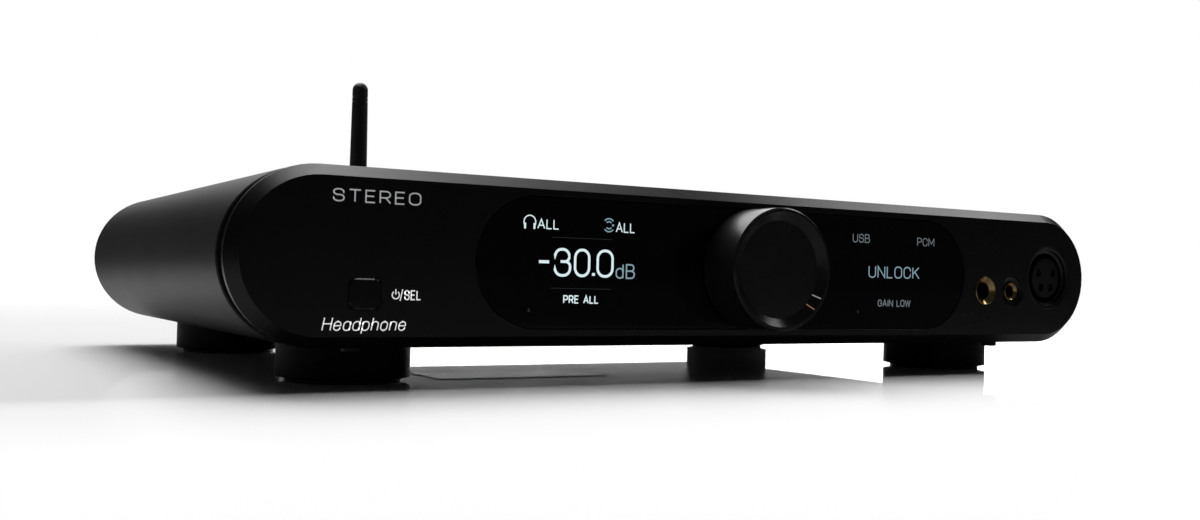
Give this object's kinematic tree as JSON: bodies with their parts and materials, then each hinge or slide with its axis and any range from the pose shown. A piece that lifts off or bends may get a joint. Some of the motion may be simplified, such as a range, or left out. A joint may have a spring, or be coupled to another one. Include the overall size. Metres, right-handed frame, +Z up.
{
  "type": "desktop digital-to-analogue converter",
  "caption": "Low black desktop converter and headphone amplifier with rounded ends, a smoked display window, a dished volume knob, front headphone sockets, round feet and a folding aerial.",
  "frame": {"origin": "on the table, below the middle of the whole object, aerial and knob included", "axes": "+Z up, the front panel faces -Y, +X to the right as seen from the front"},
  "size_m": [0.34, 0.2634, 0.1243],
  "materials": {
    "case_black": "fine blasted, black anodised",
    "panel_black": "fine blasted, black anodised, satin",
    "frame_black": "matt black",
    "window_smoked": "smoked, polished",
    "display_glass": "polished",
    "knob_black": "turned, black anodised, polished bevels",
    "button_black": "satin with polished edge",
    "gold": "gold plated",
    "socket_black": "moulded, fine grain",
    "socket_metal": "black, satin",
    "contact_silver": "nickel plated",
    "screw_black": "black oxide",
    "steel": "zinc plated",
    "foot_black": "fine grain",
    "rubber_black": "matt",
    "board": "solder mask",
    "winding": "varnished tape",
    "capacitor": "sleeve",
    "heat_sink": "black anodised",
    "component": "moulded",
    "ribbon": "flexible flat",
    "label": "printed film"
  },
  "bodies": {
    "chassis": {"foot_front_left": "foot_black", "foot_front_right": "foot_black", "foot_rear_left": "foot_black", "foot_rear_right": "foot_black", "foot_pads": "rubber_black", "foot_screws": "steel", "case_shell": "case_black", "chassis_tray": "steel", "lower_front_screws": "screw_black", "underside_label": "label", "front_panel": "panel_black", "display_window": "window_smoked", "displays": "display_glass", "display_holders": "component", "front_frame": "frame_black", "front_board": "board", "encoder_body": "steel", "encoder_nut": "steel", "button_switch": "component", "large_jack": "socket_black", "large_jack_ring": "gold", "small_jack": "socket_black", "small_jack_ring": "gold", "balanced_socket_shell": "socket_metal", "balanced_socket_insert": "socket_black", "balanced_socket_contacts": "gold", "headphone_board": "board", "main_board": "board", "power_board": "board", "board_spacers": "steel", "inner_screws": "steel", "toroidal_transformer": "winding", "power_capacitors": "capacitor", "heat_sink": "heat_sink", "amplifier_modules": "component", "board_components": "component", "ribbon_cable": "ribbon", "rear_panel": "panel_black", "rear_panel_screws": "screw_black", "rear_nuts": "contact_silver", "mains_inlet": "socket_black", "mains_inlet_pins": "contact_silver", "power_rocker_frame": "socket_black", "trigger_jack": "socket_black", "usb_socket": "contact_silver", "optical_socket": "socket_black", "phono_jacks": "gold", "balanced_outputs": "socket_metal", "balanced_output_pins": "contact_silver", "aerial_socket": "gold", "aerial_coupling": "gold"},
    "knob": {"volume_knob": "knob_black", "knob_grub_screw": "screw_black", "encoder_shaft": "steel"},
    "button": {"power_button": "button_black", "switch_plunger": "component"},
    "rocker": {"power_rocker": "button_black"},
    "aerial_base": {"aerial_swivel": "rubber_black", "aerial_pin": "steel"},
    "aerial": {"aerial_whip": "rubber_black"}
  },
  "joints": [
    {"name": "knob_turn", "type": "hinge", "parent": "chassis", "child": "knob", "pos_m": [0, -0.12315, 0.0368], "axis": [0, 1, 0], "continuous": true},
    {"name": "button_press", "type": "slide", "parent": "chassis", "child": "button", "axis": [0, 1, 0], "range_m": [0, 0.0005], "stiffness_N_per_m": 1000, "springref_m": -0.0005},
    {"name": "rocker_tilt", "type": "hinge", "parent": "chassis", "child": "rocker", "pos_m": [-0.097, 0.10945, 0.0368], "axis": [-1, 0, 0], "range_deg": [0, 22]},
    {"name": "aerial_turn", "type": "hinge", "parent": "chassis", "child": "aerial_base", "pos_m": [-0.0508, 0.12285, 0.0368], "axis": [0, 1, 0], "range_deg": [-90, 90]},
    {"name": "aerial_fold", "type": "hinge", "parent": "aerial_base", "child": "aerial", "pos_m": [-0.0508, 0.12685, 0.0368], "axis": [-1, 0, 0], "range_deg": [0, 90]}
  ]
}
